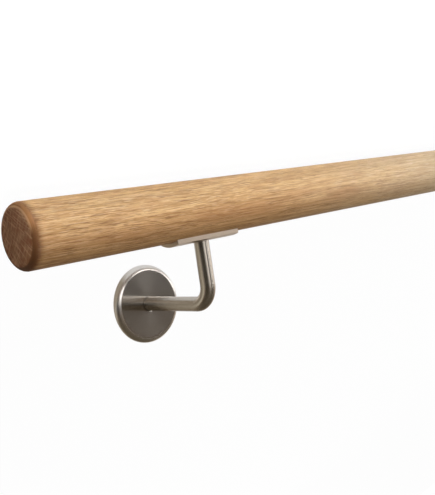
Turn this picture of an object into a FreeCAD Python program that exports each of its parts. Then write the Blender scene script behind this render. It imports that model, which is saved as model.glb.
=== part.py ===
import FreeCAD, Part
import math
import os

# Round oak handrail on two bent-rod wall brackets of stainless steel.
# Millimetres. Every piece is first built as it hangs on a wall:
#   +X along the rail, starting at its near end
#   +Y from the rail towards the wall
#   +Z up, with the rail's axis at Y = 0, Z = 0
# The whole part is then laid down as it rests unheld on a floor.

# Rail
rail_diameter = 45.0
rail_length = 1000.0
rail_end_rounding = 5.0

# Brackets along the rail
bracket_inset = 154.0

# Bracket arm: round rod that drops from the rail and bends to the wall
arm_diameter = 12.0
arm_drop = 75.0
wall_distance = 83.0
bend_radius = 16.0

# Wall plate, welded round the arm's end, with its ring of wall screw holes
wall_plate_thickness = 4.0
wall_plate_edge_gap = 0.2
wall_hole_circle = 40.0
wall_hole_count = 3
wall_hole_diameter = 5.5
wall_hole_sink_diameter = 10.0

# Cover rosette: pressed cap that hides the wall plate and its screws
rosette_diameter = 67.0
rosette_sheet = 1.0
rosette_edge_rounding = 5.0
rosette_gap = 0.5
rosette_hole_clearance = 0.2
rosette_hole_rounding = 0.6

# Saddle plate, rolled to the rail's radius
saddle_length = 64.0
saddle_width = 20.0
saddle_thickness = 3.0
saddle_corner_rounding = 0.5

# Countersunk screws that hold the saddle plate to the rail
screw_edge_distance = 9.0
screw_shank_diameter = 4.0
screw_head_diameter = 8.0
screw_length = 25.0
screw_tip_length = 4.0
screw_head_sink = 0.2
screw_hole_clearance = 0.25
pilot_clearance = 0.05
recess_width = 3.0
recess_depth = 1.5

# Derived sizes
rail_radius = rail_diameter / 2
arm_radius = arm_diameter / 2
saddle_outer_radius = rail_radius + saddle_thickness
rosette_radius = rosette_diameter / 2
rosette_height = wall_plate_thickness + rosette_gap + rosette_sheet
wall_hole_radius = wall_hole_diameter / 2
screw_shank_radius = screw_shank_diameter / 2
screw_head_radius = screw_head_diameter / 2
screw_head_level = saddle_outer_radius - screw_head_sink
screw_offset = saddle_length / 2 - screw_edge_distance
bracket_places = {"a": bracket_inset, "b": rail_length - bracket_inset}
screw_sides = {"1": -1, "2": 1}

X_AXIS = FreeCAD.Vector(1, 0, 0)
Y_AXIS = FreeCAD.Vector(0, 1, 0)
Z_AXIS = FreeCAD.Vector(0, 0, 1)


def point(x, y, z):
    return FreeCAD.Vector(x, y, z)


def screw_places():
    """Name and place along the rail of every saddle screw."""
    places = {}
    for bracket, x in bracket_places.items():
        for name, side in screw_sides.items():
            places[bracket + name] = x + side * screw_offset
    return places


def screw_body(x, clearance):
    """Shank and pointed tip below the head, grown all round by a clearance."""
    radius = screw_shank_radius + clearance
    shank_length = screw_length - screw_tip_length
    shank = Part.makeCylinder(radius, shank_length, point(x, 0, -screw_head_level), Z_AXIS)
    tip_start = point(x, 0, -screw_head_level + shank_length)
    tip = Part.makeCone(radius, 0, screw_tip_length + clearance, tip_start, Z_AXIS)
    return shank.fuse(tip)


def handrail():
    """Round bar with rounded ends and pilot holes along its underside."""
    rail = Part.makeCylinder(rail_radius, rail_length, point(0, 0, 0), X_AXIS)
    end_edges = [edge for edge in rail.Edges if abs(edge.Length - math.pi * rail_diameter) < 0.01]
    rail = rail.makeFillet(rail_end_rounding, end_edges)
    for x in screw_places().values():
        rail = rail.cut(screw_body(x, pilot_clearance))
    return rail


def saddle_plate(x):
    """Strip rolled to the rail's round, with two countersunk holes."""
    start = point(x - saddle_length / 2, 0, 0)
    tube = Part.makeCylinder(saddle_outer_radius, saddle_length, start, X_AXIS)
    tube = tube.cut(Part.makeCylinder(rail_radius, saddle_length, start, X_AXIS))
    blank = Part.makeBox(saddle_length, saddle_width, saddle_outer_radius)
    upright_edges = [edge for edge in blank.Edges if abs(edge.Length - saddle_outer_radius) < 0.01]
    blank = blank.makeFillet(saddle_corner_rounding, upright_edges)
    blank.translate(point(x - saddle_length / 2, -saddle_width / 2, -saddle_outer_radius))
    plate = tube.common(blank)
    hole_radius = screw_shank_radius + screw_hole_clearance
    sink_radius = screw_head_radius + screw_head_sink
    for side in screw_sides.values():
        bottom = point(x + side * screw_offset, 0, -saddle_outer_radius)
        plate = plate.cut(Part.makeCylinder(hole_radius, saddle_outer_radius, bottom, Z_AXIS))
        plate = plate.cut(Part.makeCone(sink_radius, hole_radius, sink_radius - hole_radius, bottom, Z_AXIS))
    return plate


def plate_screw(x):
    """Countersunk wood screw with a square drive, pointing up into the rail."""
    head_start = point(x, 0, -screw_head_level)
    head_height = screw_head_radius - screw_shank_radius
    head = Part.makeCone(screw_head_radius, screw_shank_radius, head_height, head_start, Z_AXIS)
    screw = screw_body(x, 0).fuse(head)
    recess = Part.makeBox(recess_width, recess_width, recess_depth)
    recess.translate(point(x - recess_width / 2, -recess_width / 2, -screw_head_level))
    return screw.cut(recess).removeSplitter()


def arm_rod(x):
    """Rod coped to the saddle plate, bent once, and run through the wall plate."""
    bend_top = -(arm_drop - bend_radius)
    drop = Part.makeCylinder(arm_radius, -bend_top, point(x, 0, bend_top), Z_AXIS)
    rail_side = Part.makeCylinder(saddle_outer_radius, arm_diameter, point(x - arm_radius, 0, 0), X_AXIS)
    section = Part.Face(Part.Wire(Part.makeCircle(arm_radius, point(x, 0, bend_top), Z_AXIS)))
    bend = section.revolve(point(x, bend_radius, bend_top), X_AXIS, 90)
    run_start = point(x, bend_radius, -arm_drop)
    run = Part.makeCylinder(arm_radius, wall_distance - bend_radius, run_start, Y_AXIS)
    return drop.cut(rail_side).fuse([bend, run]).removeSplitter()


def wall_plate_radius():
    """Largest disc that clears the inside of the rosette's rounded edge."""
    inside_rounding = rosette_edge_rounding - rosette_sheet - wall_plate_edge_gap
    rounding_centre_radius = rosette_radius - rosette_edge_rounding
    corner_height = wall_plate_thickness - (rosette_height - rosette_edge_rounding)
    return rounding_centre_radius + math.sqrt(inside_rounding ** 2 - corner_height ** 2)


def wall_plate(x):
    """Round plate with a ring of countersunk holes for the wall screws."""
    front = wall_distance - wall_plate_thickness
    plate = Part.makeCylinder(wall_plate_radius(), wall_plate_thickness, point(x, front, -arm_drop), Y_AXIS)
    plate = plate.cut(Part.makeCylinder(arm_radius, wall_plate_thickness, point(x, front, -arm_drop), Y_AXIS))
    sink_radius = wall_hole_sink_diameter / 2
    for index in range(wall_hole_count):
        angle = 2 * math.pi * index / wall_hole_count
        across = wall_hole_circle / 2 * math.sin(angle)
        up = wall_hole_circle / 2 * math.cos(angle)
        hole_front = point(x + across, front, -arm_drop + up)
        plate = plate.cut(Part.makeCylinder(wall_hole_radius, wall_plate_thickness, hole_front, Y_AXIS))
        sink = Part.makeCone(sink_radius, wall_hole_radius, sink_radius - wall_hole_radius, hole_front, Y_AXIS)
        plate = plate.cut(sink)
    return plate


def rosette_profile(x, radius, height, rounding):
    """Half section of a round cap with a rounded front edge, from axis to rim."""
    def at(distance, depth):
        return point(x + distance, wall_distance - depth, -arm_drop)

    flat_radius = radius - rounding
    straight = height - rounding
    middle = rounding * math.sqrt(0.5)
    edges = [
        Part.LineSegment(at(0, 0), at(0, height)),
        Part.LineSegment(at(0, height), at(flat_radius, height)),
        Part.Arc(at(flat_radius, height), at(flat_radius + middle, straight + middle), at(radius, straight)),
        Part.LineSegment(at(radius, straight), at(radius, 0)),
        Part.LineSegment(at(radius, 0), at(0, 0)),
    ]
    return Part.Face(Part.Wire([edge.toShape() for edge in edges]))


def cover_rosette(x):
    """Pressed cap of even sheet, open at the back, with an eased hole for the arm."""
    centre = point(x, wall_distance, -arm_drop)
    outside = rosette_profile(x, rosette_radius, rosette_height, rosette_edge_rounding)
    inside = rosette_profile(
        x,
        rosette_radius - rosette_sheet,
        rosette_height - rosette_sheet,
        rosette_edge_rounding - rosette_sheet,
    )
    cap = outside.revolve(centre, Y_AXIS, 360).cut(inside.revolve(centre, Y_AXIS, 360))
    hole_radius = arm_radius + rosette_hole_clearance
    cap = cap.cut(Part.makeCylinder(hole_radius, rosette_height, centre, -Y_AXIS))
    front = wall_distance - rosette_height
    hole_length = 2 * math.pi * hole_radius
    rim = [
        edge for edge in cap.Edges
        if abs(edge.Length - hole_length) < 0.01 and abs(edge.BoundBox.Center.y - front) < 0.01
    ]
    return cap.makeFillet(rosette_hole_rounding, rim)


def lay_down(shape):
    """Turn the part back onto its wall side and set it on the floor.

    It then rests on the rail and on the upper back rims of the two rosettes,
    so the line from a rim that touches the rail's round is level.
    """
    rim_drop = arm_drop - rosette_radius
    rim_slope = math.atan2(rim_drop, wall_distance)
    tangent_slope = math.asin(rail_radius / math.hypot(rim_drop, wall_distance))
    turn = math.pi + rim_slope + tangent_slope
    far_edge = wall_distance * math.cos(turn) + (arm_drop + rosette_radius) * math.sin(turn)
    laid = shape.copy()
    laid.rotate(point(0, 0, 0), X_AXIS, math.degrees(turn))
    laid.translate(point(-rail_length / 2, -(rail_radius + far_edge) / 2, rail_radius))
    return laid


def all_pieces():
    pieces = {"handrail": handrail()}
    for bracket, x in bracket_places.items():
        pieces["saddle_plate_" + bracket] = saddle_plate(x)
        pieces["arm_rod_" + bracket] = arm_rod(x)
        pieces["wall_plate_" + bracket] = wall_plate(x)
        pieces["cover_rosette_" + bracket] = cover_rosette(x)
    for name, x in screw_places().items():
        pieces["plate_screw_" + name] = plate_screw(x)
    return pieces


os.makedirs("parts", exist_ok=True)
for node, shape in all_pieces().items():
    lay_down(shape).exportStep("parts/" + node + ".step")
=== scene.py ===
import math

import bpy
from mathutils import Matrix, Vector


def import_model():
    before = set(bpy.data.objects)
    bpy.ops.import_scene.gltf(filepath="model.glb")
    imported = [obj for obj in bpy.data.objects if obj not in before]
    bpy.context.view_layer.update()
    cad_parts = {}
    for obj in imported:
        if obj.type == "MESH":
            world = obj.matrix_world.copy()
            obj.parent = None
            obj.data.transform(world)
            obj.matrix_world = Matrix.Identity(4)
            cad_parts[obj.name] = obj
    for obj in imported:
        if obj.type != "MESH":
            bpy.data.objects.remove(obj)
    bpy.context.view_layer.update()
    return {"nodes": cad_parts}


# Looks of an oak handrail length on two stainless wall brackets, lying on its wall side.
# The hanging axes are those of the rail as it hangs on a wall, in millimetres:
# X along the rail from its near end, Y towards the wall, Z up, rail axis at Y = Z = 0.

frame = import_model()
NODES = frame["nodes"]

# Sizes of the object in millimetres
RAIL_RADIUS = 22.5
RAIL_LENGTH = 1000.0
WALL_DISTANCE = 83.0
ARM_DROP = 75.0
BEND_RADIUS = 16.0
ROSETTE_RADIUS = 33.5
RIM_START_RADIUS = 28.7
RIM_FULL_RADIUS = 29.8
BRACKETS = {"a": 154.0, "b": 846.0}

# How the part is turned from the wall on to the floor
RIM_DROP = ARM_DROP - ROSETTE_RADIUS
TURN = (math.pi + math.atan2(RIM_DROP, WALL_DISTANCE)
        + math.asin(RAIL_RADIUS / math.hypot(RIM_DROP, WALL_DISTANCE)))
FAR_EDGE = WALL_DISTANCE * math.cos(TURN) + (ARM_DROP + ROSETTE_RADIUS) * math.sin(TURN)
MILLIMETRE = 0.001
AXIS_PLACE = Vector((-RAIL_LENGTH / 2, -(RAIL_RADIUS + FAR_EDGE) / 2, RAIL_RADIUS)) * MILLIMETRE

# Middle of the tree in the hanging axes, the width of a year's ring in millimetres, and how far
# the rings shift for each millimetre along the rail
PITH_Y = 62.0
PITH_Z = 50.0
RING_WIDTH = 3.3
RING_SHIFT = 0.012

# Depth of the surfaces' relief in metres
PORE_DEPTH = 0.00012
GRINDING_DEPTH = 0.00002

# Room that only reflections and soft light see, as tones at turns round the rail's vertical, above and
# below the horizon. A turn is in degrees: 0 towards the viewer, 90 to the right, 180 away.
TOWARDS_VIEWER = (-0.685, -0.729, 0.0)
TO_THE_RIGHT = (0.729, -0.685, 0.0)
BRIGHTEST = 5.0
OVERHEAD_LEVEL = 1.9
UPPER_ROOM = [
    (-180, 0.40), (-110, 0.40), (-84, 0.80), (-66, 1.05), (-48, 0.55), (-34, 0.05), (-8, 0.04),
    (8, 0.06), (20, 0.40), (30, 2.20), (46, 3.40), (54, 2.00), (60, 0.12), (68, 0.12),
    (76, 5.00), (88, 5.00), (93, 3.40), (100, 3.00), (130, 2.40), (179, 0.60),
]
LOWER_ROOM = [
    (-180, 0.45), (-120, 0.50), (-84, 0.55), (-60, 0.45), (-36, 0.04), (6, 0.05), (24, 0.20),
    (50, 0.24), (66, 0.095), (76, 0.13), (90, 0.135), (106, 0.39), (130, 0.52), (179, 0.45),
]

# Floor in metres, just under the object, and a painted pool of light on it by the near rosette, which only
# reflections see
FLOOR_HALF_WIDTH = 12.0
FLOOR_LEVEL = -0.0002
PAINTED_LIGHT_PLACE = (-0.325, -0.02, 0.0)

# Camera fitted to the photo's edges: angles in degrees, place in the hanging axes, sensor in millimetres
CAMERA_AZIMUTH = 43.224
CAMERA_ELEVATION = 3.921
CAMERA_ROLL = -8.503
CAMERA_PLACE = (-219.346, -414.473, 6.218)
FOCAL_LENGTH_PIXELS = 720.51
PHOTO_HEIGHT_PIXELS = 495
SENSOR_WIDTH = 36.0


def turned(x, y, z):
    """A direction in the hanging axes, turned into the frame."""
    c, s = math.cos(TURN), math.sin(TURN)
    return Vector((x, y * c - z * s, y * s + z * c))


def laid(x, y, z):
    """A point in the hanging axes as a place in the frame in metres."""
    return turned(x, y, z) * MILLIMETRE + AXIS_PLACE


# Node trees

class Tree:
    """Short ways to add nodes to one material or world."""

    def __init__(self, owner):
        owner.use_nodes = True
        self.nodes = owner.node_tree.nodes
        self.links = owner.node_tree.links
        self.nodes.clear()

    def add(self, kind, settings=None, **inputs):
        """A shader node, with its inputs given by name, or as i0, i1 and so on by number."""
        node = self.nodes.new("ShaderNode" + kind)
        for key, value in (settings or {}).items():
            setattr(node, key, value)
        for key, value in inputs.items():
            numbered = key.startswith("i") and key[1:].isdigit()
            self.feed(node.inputs[int(key[1:]) if numbered else key.replace("_", " ")], value)
        return node

    def feed(self, socket, value):
        """Link an output to an input, or set the input to a number, direction or colour."""
        if isinstance(value, bpy.types.NodeSocket):
            self.links.new(value, socket)
        elif socket.type == "RGBA":
            socket.default_value = (*value, 1.0)
        else:
            socket.default_value = value

    def math(self, operation, a, b=0.0, c=0.0):
        return self.add("Math", {"operation": operation}, i0=a, i1=b, i2=c).outputs[0]

    def times(self, value, *factors):
        for factor in factors:
            value = self.math("MULTIPLY", value, factor)
        return value

    def times_plus(self, value, factor, added):
        return self.math("MULTIPLY_ADD", value, factor, added)

    def vector(self, operation, a, b=(0, 0, 0)):
        node = self.add("VectorMath", {"operation": operation}, i0=a, i1=b)
        return node.outputs["Value" if operation in ("DOT_PRODUCT", "LENGTH", "DISTANCE") else "Vector"]

    def combine(self, x, y, z):
        return self.add("CombineXYZ", None, X=x, Y=y, Z=z).outputs[0]

    def xyz(self, coords):
        return self.add("SeparateXYZ", None, i0=coords).outputs

    def noise(self, coords, scale, detail=3.0, rough=0.55, shift=None):
        """Noise from 0 to 1, with a scale for each axis."""
        if shift:
            coords = self.vector("ADD", coords, shift)
        place = self.vector("MULTIPLY", coords, scale)
        node = self.add("TexNoise", None, Vector=place, Scale=1.0, Detail=detail, Roughness=rough)
        return node.outputs["Fac"]

    def span(self, value, low, high, out_low=0.0, out_high=1.0):
        """Smooth step from out_low to out_high while the value goes from low to high."""
        node = self.add("MapRange", {"interpolation_type": "SMOOTHSTEP"}, i0=value, i1=low, i2=high,
                        i3=out_low, i4=out_high)
        return node.outputs[0]

    def mix(self, share, a, b, blend="MIX"):
        """Colour a with a share of b laid over it, or multiplied into it."""
        return self.add("Mix", {"data_type": "RGBA", "blend_type": blend}, i0=share, i6=a, i7=b).outputs[2]

    def layers(self, colour, covers):
        """A colour with others laid over it in turn, each given after its share."""
        for share, cover in covers:
            colour = self.mix(share, colour, cover)
        return colour

    def ramp(self, value, stops):
        """Colours, each given after the value that it stands at."""
        node = self.add("ValToRGB", None, Fac=value)
        ramp = node.color_ramp
        while len(ramp.elements) < len(stops):
            ramp.elements.new(0.5)
        for element, (place, colour) in zip(ramp.elements, stops):
            element.position = place
            element.color = (*colour, 1.0)
        return node.outputs["Color"]

    def blend(self, share, first, second):
        """Two shader nodes mixed, with the share of the second."""
        return self.add("MixShader", None, i0=share, i1=first.outputs[0], i2=second.outputs[0])

    def bump(self, height, distance, strength):
        return self.add("Bump", None, Height=height, Distance=distance, Strength=strength).outputs[0]

    def hanging(self):
        """Position in the hanging axes, in millimetres."""
        place = self.add("TexCoord").outputs["Object"]
        node = self.add("Mapping", {"vector_type": "TEXTURE"}, Vector=place, Location=AXIS_PLACE,
                        Rotation=(TURN, 0, 0), Scale=(MILLIMETRE, MILLIMETRE, MILLIMETRE))
        return node.outputs[0]


# Oak: rings round a far-off pith, pores along the grain, rays across it

class Growth:
    """The tree's growth at each place of the rail, as outputs of nodes."""

    def __init__(self, t, p):
        x, y, z = t.xyz(p)

        # Slow bends of the grain along the length
        bend = t.noise(p, (0.0045, 0.02, 0.02), 2.0)
        ripple = t.noise(p, (0.011, 0.055, 0.055), 2.0)
        along_y = t.times_plus(bend, 7.0, t.times_plus(ripple, 1.5, y))
        along_z = t.times_plus(bend, -6.0, t.times_plus(ripple, 2.0, z))
        self.grain = t.combine(x, along_y, along_z)

        # Place as length, angle round the pith and distance from it
        from_pith = t.vector("MULTIPLY", t.vector("SUBTRACT", p, (0, PITH_Y, PITH_Z)), (0, 1, 1))
        distance = t.vector("LENGTH", from_pith)
        angle = t.math("ARCTAN2", t.math("SUBTRACT", z, PITH_Z), t.math("SUBTRACT", y, PITH_Y))
        self.round_pith = t.combine(x, angle, distance)

        # Early wood: 1 where a year's growth starts, 0 in its later part, with soft changes
        ring = t.math("ADD", distance, t.times(x, RING_SHIFT))
        ring = t.times_plus(bend, 9.0, ring)
        ring = t.times_plus(ripple, 2.4, ring)
        year = t.math("FRACT", t.math("DIVIDE", ring, RING_WIDTH))
        self.early = t.math("MAXIMUM", t.span(year, 0.45, 0.0), t.span(year, 0.86, 1.0))

        # Pores: long dark dashes, thick in the early wood
        pore_edge = t.times_plus(self.early, -0.08, 0.62)
        pore_noise = t.noise(self.grain, (0.055, 1.5, 1.5), 2.0, 0.6)
        self.pores = t.span(pore_noise, pore_edge, t.math("ADD", pore_edge, 0.07))
        self.fine_pores = t.span(t.noise(self.grain, (0.24, 2.0, 2.0), 2.0, 0.6), 0.52, 0.66)

        # Fibre in wide bands
        self.bands = t.noise(self.grain, (0.010, 0.42, 0.42), 3.0, 0.65)


def long_grain(t, p, growth):
    """Colour of the wood along the rail."""
    x, y, z = t.xyz(p)
    grain = growth.grain

    # The grain is calmer on top and away from the near end
    calm = t.times(t.span(x, 90.0, 420.0), t.span(z, -6.0, 12.0))
    open_grain = t.times_plus(calm, -0.45, 1.0)
    flecked = t.times(open_grain, t.span(x, 70.0, 300.0, 1.0, 0.45))

    # Narrow fibres, and broad patches of darker wood
    fibres = t.noise(grain, (0.028, 1.30, 1.30), 3.0, 0.7, shift=(40, 7, 3))
    dark_fibres = t.times(t.span(fibres, 0.50, 0.36, 0.0, 0.84), open_grain)
    pale_fibres = t.times(t.span(fibres, 0.54, 0.67, 0.0, 0.66), open_grain)
    patches = t.noise(grain, (0.016, 0.075, 0.075), 2.0, 0.5, shift=(90, 0, 0))

    # Threads: long thin dark lines, broken here and there
    weave = t.noise(grain, (0.008, 0.27, 0.27), 2.0, 0.5, shift=(11, 5, 83))
    off_line = t.math("ABSOLUTE", t.math("SUBTRACT", weave, 0.5))
    broken = t.noise(grain, (0.035, 0.30, 0.30), 1.0, 0.5, shift=(61, 29, 7))
    threads = t.times(t.span(off_line, 0.030, 0.0), t.span(broken, 0.44, 0.56))

    # Single dark dashes in groups, and pale glints, fewer of them underneath
    dashes = t.span(t.noise(grain, (0.070, 1.5, 1.5), 1.0, 0.4, shift=(15, 31, 57)), 0.58, 0.65)
    dash_groups = t.noise(grain, (0.02, 0.12, 0.12), 1.0, shift=(15, 31, 57))
    dashes = t.times(dashes, t.span(dash_groups, 0.38, 0.56, 0.25))
    glints = t.span(t.noise(grain, (0.09, 1.6, 1.6), 1.0, 0.4, shift=(7, 77, 17)), 0.57, 0.66)
    glints = t.times(glints, t.span(z, -14.0, 6.0, 0.25))

    # Rays: thin plates that run from the pith outwards
    rays = t.span(t.noise(growth.round_pith, (0.07, 95.0, 0.09), 1.0, 0.4), 0.60, 0.72)

    wood = t.ramp(growth.bands, [
        (0.32, (0.43, 0.245, 0.095)),
        (0.48, (0.565, 0.355, 0.155)),
        (0.62, (0.66, 0.44, 0.215)),
    ])
    wood = t.layers(wood, [
        (dark_fibres, (0.35, 0.19, 0.075)),
        (pale_fibres, (0.77, 0.56, 0.32)),
        (t.span(patches, 0.50, 0.66, 0.0, 0.42), (0.42, 0.215, 0.085)),
        (t.times(growth.early, 0.26), (0.46, 0.265, 0.11)),
        (t.times(growth.fine_pores, 0.52, flecked), (0.33, 0.18, 0.075)),
        (t.times(growth.pores, 0.62), (0.22, 0.11, 0.04)),
        (t.times(threads, 0.80, open_grain), (0.27, 0.14, 0.052)),
        (t.times(dashes, flecked, 0.85), (0.24, 0.12, 0.043)),
        (t.times(glints, 0.42, flecked), (0.84, 0.64, 0.41)),
        (t.times(rays, 0.22), (0.78, 0.59, 0.38)),
    ])

    # Darker and redder underneath as painted shade, a little paler on top as painted light, and paler in
    # the middle of the room side
    middle = t.times(t.span(x, 180.0, 540.0), t.span(x, 560.0, 900.0, 1.0, 0.25), t.span(y, 12.0, -4.0))
    # Painted shade underneath, with less of it in the middle of the room side
    painted_shade_under = t.times(t.span(z, 9.0, -9.0, 0.0, 0.54), t.times_plus(middle, -0.8, 1.0))
    wood = t.mix(painted_shade_under, wood, (0.74, 0.58, 0.49), "MULTIPLY")
    # Painted light: the top a little paler
    wood = t.mix(t.span(z, 14.0, 21.0), wood, (1.08, 1.07, 1.06), "MULTIPLY")
    paler = t.times(middle, t.span(patches, 0.30, 0.60, 0.55, 0.95))
    wood = t.mix(paler, wood, (0.92, 1.08, 1.40), "MULTIPLY")
    return t.mix(t.times(middle, 0.22), wood, (0.62, 0.50, 0.35))


def end_grain(t, p, growth):
    """Colour of the flat end faces."""
    pores = t.span(t.noise(p, (0.2, 1.6, 1.6), 2.0), 0.5, 0.66)
    blotches = t.noise(p, (0.1, 0.13, 0.13), 2.0)
    rays = t.span(t.noise(growth.round_pith, (0.0, 75.0, 0.09), 1.0, 0.5), 0.53, 0.63)
    rings = t.span(t.noise(growth.round_pith, (0.0, 7.0, 0.62), 1.0, 0.5), 0.52, 0.61)
    face = t.mix(t.span(blotches, 0.38, 0.62), (0.245, 0.095, 0.036), (0.32, 0.15, 0.068))
    return t.layers(face, [
        (t.times(growth.early, t.span(blotches, 0.35, 0.65, 0.30, 0.62)), (0.185, 0.064, 0.021)),
        (t.times(pores, 0.40), (0.15, 0.055, 0.020)),
        (t.times(rays, 0.58), (0.58, 0.33, 0.19)),
        (t.times(rings, 0.40), (0.54, 0.31, 0.175)),
    ])


def oak():
    material = bpy.data.materials.new("oak_rail")
    t = Tree(material)
    p = t.hanging()
    x, _, z = t.xyz(p)
    growth = Growth(t, p)

    # End grain drinks more oil, so the ends are darker and redder, fading out over some millimetres
    from_end = t.math("MINIMUM", x, t.math("SUBTRACT", RAIL_LENGTH, x))
    wood = t.mix(t.span(from_end, 9.0, 1.5), long_grain(t, p, growth), (0.40, 0.29, 0.20), "MULTIPLY")

    # Rounded shoulder at each end, darkest low down as painted shade, with a painted sheen as a pale lip
    # on the upper half of its edge
    lines = t.span(t.noise(p, (1.1, 0.04, 0.04), 1.0), 0.42, 0.60)
    upper_shoulder = t.mix(lines, (0.20, 0.078, 0.024), (0.35, 0.155, 0.048))
    # Painted shade: the shoulder darker low down than on its upper half
    shoulder = t.mix(t.span(z, -1.0, 12.0), (0.145, 0.056, 0.017), upper_shoulder)
    # Painted highlight: a sheen along the upper half of the shoulder's edge
    painted_sheen_lip = t.times(t.span(from_end, 0.1, 0.35), t.span(from_end, 1.1, 0.7), t.span(z, 0.0, 9.0, 0.0, 0.5))
    wood = t.layers(wood, [
        (t.span(from_end, 4.6, 1.2), shoulder),
        (painted_sheen_lip, (0.72, 0.45, 0.24)),
        (t.span(from_end, 0.5, 0.05), end_grain(t, p, growth)),
    ])

    height = t.times_plus(growth.pores, -1.0, t.times(growth.fine_pores, -0.35))
    rough = t.times_plus(growth.pores, 0.2, t.times_plus(growth.bands, 0.12, 0.48))
    shader = t.add("BsdfPrincipled", None, Base_Color=wood, Roughness=rough,
                   Normal=t.bump(height, PORE_DEPTH, 0.6), Specular_IOR_Level=0.30)
    t.add("OutputMaterial", None, Surface=shader.outputs[0])
    return material


# Stainless steel, ground to a satin finish

def stainless(name, grain, base, rough, streak=0.0, marks_along=None, edge=None):
    """grain says how finely the marks repeat along each hanging axis.

    marks_along(tree, place) gives the direction that the marks spread a reflection in.
    edge(tree, place) gives 0 on the plain surface and 1 on a rougher edge, with its roughness and tint.
    """
    material = bpy.data.materials.new(name)
    t = Tree(material)
    p = t.hanging()
    marks = t.noise(p, grain, 3.0, 0.6)
    clouds = t.noise(p, (0.05, 0.05, 0.05), 3.0)
    darker = tuple(0.90 * value for value in base)
    lighter = tuple(1.06 * value for value in base)
    tone = t.ramp(marks, [(0.3, darker), (0.7, lighter)])
    tone = t.mix(t.span(clouds, 0.3, 0.7, 0.0, 0.12), tone, (0.50, 0.46, 0.42))
    spread = t.times_plus(marks, 0.10, rough - 0.05)
    if edge is not None:
        share, edge_rough, tint = edge(t, p)
        spread = t.times_plus(share, edge_rough - rough, spread)
        tone = t.mix(share, tone, tint, "MULTIPLY")
    shader = t.add("BsdfPrincipled", None, Base_Color=tone, Roughness=spread,
                   Normal=t.bump(marks, GRINDING_DEPTH, 0.5), Metallic=1.0)
    if marks_along is not None:
        shader.inputs["Anisotropic"].default_value = streak
        way = t.add("Mapping", {"vector_type": "VECTOR"}, Vector=marks_along(t, p), Rotation=(TURN, 0, 0))
        t.feed(shader.inputs["Tangent"], way.outputs[0])
    t.add("OutputMaterial", None, Surface=shader.outputs[0])
    return material


def rod_axis(t, p):
    """Direction of the bent rod's axis at a place on it."""
    _, y, z = t.xyz(p)
    back = t.math("MINIMUM", t.math("SUBTRACT", y, BEND_RADIUS), 0.0)
    down = t.math("MINIMUM", t.math("ADD", z, ARM_DROP - BEND_RADIUS), 0.0)
    return t.vector("NORMALIZE", t.combine(0.0, t.times(down, -1.0), back))


def from_centre(t, p):
    """Way outwards from the nearer rosette's centre, which crosses the marks that run round it."""
    x, _, z = t.xyz(p)
    far_half = t.math("GREATER_THAN", x, RAIL_LENGTH / 2)
    centre = t.times_plus(far_half, BRACKETS["b"] - BRACKETS["a"], BRACKETS["a"])
    return t.combine(t.math("SUBTRACT", x, centre), 0.0, t.math("ADD", z, ARM_DROP))


def rolled_rim(t, p):
    """The rosette's rounded rim, beyond its flat face: rougher and lighter."""
    share = t.span(t.vector("LENGTH", from_centre(t, p)), RIM_START_RADIUS, RIM_FULL_RADIUS)
    rough = 0.30
    tint = (1.22, 1.24, 1.27)
    return share, rough, tint


def wear(node_name, material):
    mesh = NODES[node_name].data
    mesh.materials.clear()
    mesh.materials.append(material)


wear("handrail", oak())
ROD = stainless("satin_rod", (0.4, 2.0, 4.0), (0.62, 0.58, 0.52), 0.25, streak=0.97, marks_along=rod_axis)
STRIP = stainless("satin_strip", (0.6, 3.0, 3.0), (0.62, 0.52, 0.42), 0.36)
PLATE = stainless("satin_wall_plate", (0.6, 3.0, 3.0), (0.60, 0.585, 0.56), 0.34)
DISC = stainless("satin_disc", (3.0, 0.5, 0.5), (0.71, 0.68, 0.64), 0.165, streak=0.72,
                 marks_along=from_centre, edge=rolled_rim)
SCREW = stainless("bright_screw", (1.5, 1.5, 1.5), (0.62, 0.61, 0.58), 0.24)
for bracket in BRACKETS:
    wear("arm_rod_" + bracket, ROD)
    wear("saddle_plate_" + bracket, STRIP)
    wear("wall_plate_" + bracket, PLATE)
    wear("cover_rosette_" + bracket, DISC)
    for side in "12":
        wear("plate_screw_" + bracket + side, SCREW)


# Floor and light

def floor_material():
    """Matt and pale, white to the camera, and in a few broad tones of painted light and shade where metal
    mirrors it.
    """
    material = bpy.data.materials.new("pale_floor")
    t = Tree(material)
    place = t.add("TexCoord").outputs["Object"]
    x, y, _ = t.xyz(place)
    # Painted light and shade that only reflections see: painted shade far to the left, a painted lit band
    # beyond a slanting line with a painted pool of light by the near rosette, and brighter still to the
    # right
    slanting = t.times_plus(t.math("ADD", y, 0.03), 0.35, x)
    painted_lit_band = t.span(slanting, -0.378, -0.348)
    lighter = t.span(t.vector("DISTANCE", place, PAINTED_LIGHT_PLACE), 0.09, 0.05)
    mirrored = t.mix(t.span(x, -0.57, -0.50), (0.66, 0.61, 0.50), (0.35, 0.30, 0.235))
    mirrored = t.layers(mirrored, [
        (painted_lit_band, (0.62, 0.60, 0.57)),
        (t.times(painted_lit_band, lighter), (0.80, 0.79, 0.78)),
        (t.span(x, -0.2, 0.05), (0.95, 0.94, 0.92)),
    ])
    path = t.add("LightPath").outputs
    matt = t.add("BsdfDiffuse", None, Color=(0.86, 0.86, 0.86))
    white = t.add("Emission", None, Color=(1.0, 1.0, 1.0), Strength=1.0)
    painted_reflection_glow = t.add("Emission", None, Color=mirrored, Strength=1.0)
    shown = t.blend(t.times(path["Is Camera Ray"], 0.98), matt, white)
    # Reflections see the painted light and shade in place of the lit floor
    shown = t.blend(t.times(path["Is Glossy Ray"], 0.95), shown, painted_reflection_glow)
    t.add("OutputMaterial", None, Surface=shown.outputs[0])
    return material


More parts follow.
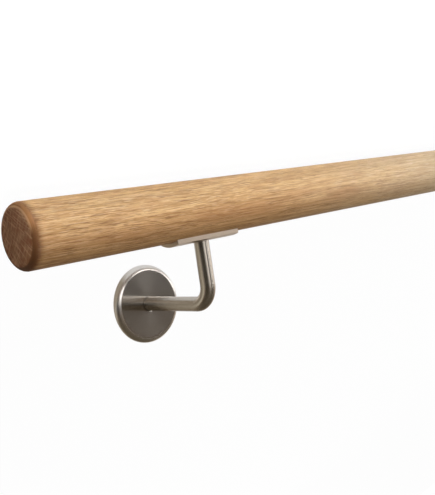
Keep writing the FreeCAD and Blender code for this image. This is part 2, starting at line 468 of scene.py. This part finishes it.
def floor():
    mesh = bpy.data.meshes.new("floor")
    ends = ((-1, -1), (1, -1), (1, 1), (-1, 1))
    corners = [(x * FLOOR_HALF_WIDTH, y * FLOOR_HALF_WIDTH, FLOOR_LEVEL) for x, y in ends]
    mesh.from_pydata(corners, [], [(0, 1, 2, 3)])
    mesh.materials.append(floor_material())
    obj = bpy.data.objects.new("floor", mesh)
    bpy.context.scene.collection.objects.link(obj)


def soft_box(name, place, aim, width, height, power, spread=180.0, mirrored=True):
    """Rectangular lamp: places and sizes in metres, power in watts, spread in degrees."""
    light = bpy.data.lights.new(name, "AREA")
    light.shape = "RECTANGLE"
    light.size = width
    light.size_y = height
    light.energy = power
    light.spread = math.radians(spread)
    obj = bpy.data.objects.new(name, light)
    obj.location = place
    obj.rotation_euler = (Vector(aim) - Vector(place)).to_track_quat("-Z", "Y").to_euler()
    obj.visible_glossy = mirrored
    bpy.context.scene.collection.objects.link(obj)


floor()
soft_box("low_front", (0.5, 1.9, 0.25), (-0.1, 0.05, 0.02), 2.4, 0.45, 6.0)
soft_box("floor_glow", (0.05, 0.55, 1.1), (0.05, 0.55, 0.0), 1.3, 0.8, 32.0, spread=14.0)
soft_box("far_fill", (1.3, 0.2, 0.9), (0.15, 0.05, 0.0), 0.8, 0.8, 8.0, mirrored=False)
soft_box("back_low", (-0.1, -1.6, 0.35), (-0.1, 0.03, 0.02), 2.0, 0.4, 5.0, mirrored=False)


def room(t, path):
    """Colour of a dim warm room: bright at the right, dark behind the viewer, darker low down."""
    generated = t.add("TexCoord").outputs["Generated"]
    way = t.add("Mapping", {"vector_type": "TEXTURE"}, Vector=generated, Rotation=(TURN, 0, 0)).outputs[0]
    near = t.vector("DOT_PRODUCT", way, TOWARDS_VIEWER)
    side = t.vector("DOT_PRODUCT", way, TO_THE_RIGHT)
    height = t.xyz(way)[2]
    around = t.times_plus(t.math("ARCTAN2", side, near), 0.5 / math.pi, 0.5)
    turn = t.times_plus(around, 360.0, -180.0)

    def panorama(tones):
        stops = [((degrees + 180) / 360, (tone / BRIGHTEST,) * 3) for degrees, tone in tones]
        return t.ramp(around, stops)

    # Walls in two rows, warmer low down and less bright overhead
    horizon = t.times(t.span(turn, 101.0, 96.0), t.span(turn, 12.0, 22.0))
    horizon = t.times_plus(horizon, t.span(turn, 60.0, 70.0, 0.10, 0.16), -0.05)
    rise = t.span(t.math("SUBTRACT", height, horizon), -0.03, 0.03)
    walls = t.mix(rise, panorama(LOWER_ROOM), panorama(UPPER_ROOM))
    warmth = t.ramp(t.span(height, -0.20, -0.06), [(0.0, (1.0, 0.79, 0.60)), (1.0, (1.0, 0.96, 0.93))])
    level = t.span(height, 0.18, 0.42, BRIGHTEST, OVERHEAD_LEVEL)
    level = t.times(level, t.times_plus(path["Is Diffuse Ray"], -0.75, 1.0))
    walls = t.mix(1.0, walls, warmth, "MULTIPLY")
    walls = t.mix(1.0, walls, t.combine(level, level, level), "MULTIPLY")

    # Dark ground, which starts higher up at the right, and lower down and paler behind
    behind = t.math("MAXIMUM", t.span(turn, -75.0, -110.0), t.span(turn, 112.0, 160.0))
    right = t.times(t.span(turn, 84.0, 98.0), t.span(turn, 168.0, 140.0))
    reach = t.times_plus(right, -0.10, t.times_plus(behind, 0.28, height))
    paler = t.times(behind, t.span(height, -0.90, -0.72))
    ground = t.mix(paler, (0.098, 0.078, 0.053), (0.215, 0.175, 0.125))
    return t.mix(t.span(reach, -0.22, -0.6), walls, ground)


def world():
    """White to the camera, and a room to every other ray."""
    studio = bpy.data.worlds.new("studio")
    bpy.context.scene.world = studio
    t = Tree(studio)
    path = t.add("LightPath").outputs
    dim = t.add("Background", None, Color=room(t, path), Strength=1.0)
    white = t.add("Background", None, Color=(1.0, 1.0, 1.0), Strength=1.0)
    shown = t.blend(path["Is Camera Ray"], dim, white)
    t.add("OutputWorld", None, Surface=shown.outputs[0])


def camera():
    azimuth, elevation, roll = (math.radians(v) for v in (CAMERA_AZIMUTH, CAMERA_ELEVATION, CAMERA_ROLL))
    level_ahead = Vector((math.sin(azimuth), math.cos(azimuth), 0.0))
    ahead = level_ahead * math.cos(elevation) - Vector((0, 0, math.sin(elevation)))
    level_right = ahead.cross(Vector((0, 0, 1))).normalized()
    level_up = level_right.cross(ahead)
    right = math.cos(roll) * level_right + math.sin(roll) * level_up
    up = -math.sin(roll) * level_right + math.cos(roll) * level_up
    ahead, right, up = (turned(*v) for v in (ahead, right, up))
    data = bpy.data.cameras.new("camera")
    data.sensor_fit = "AUTO"
    data.sensor_width = SENSOR_WIDTH
    data.lens = FOCAL_LENGTH_PIXELS / PHOTO_HEIGHT_PIXELS * SENSOR_WIDTH
    data.clip_start = 0.01
    data.clip_end = 100.0
    obj = bpy.data.objects.new("camera", data)
    facing = Matrix((right, up, -ahead)).transposed().to_4x4()
    obj.matrix_world = Matrix.Translation(laid(*CAMERA_PLACE)) @ facing
    bpy.context.scene.collection.objects.link(obj)
    bpy.context.scene.camera = obj


world()
camera()
bpy.context.scene.view_settings.view_transform = "Standard"
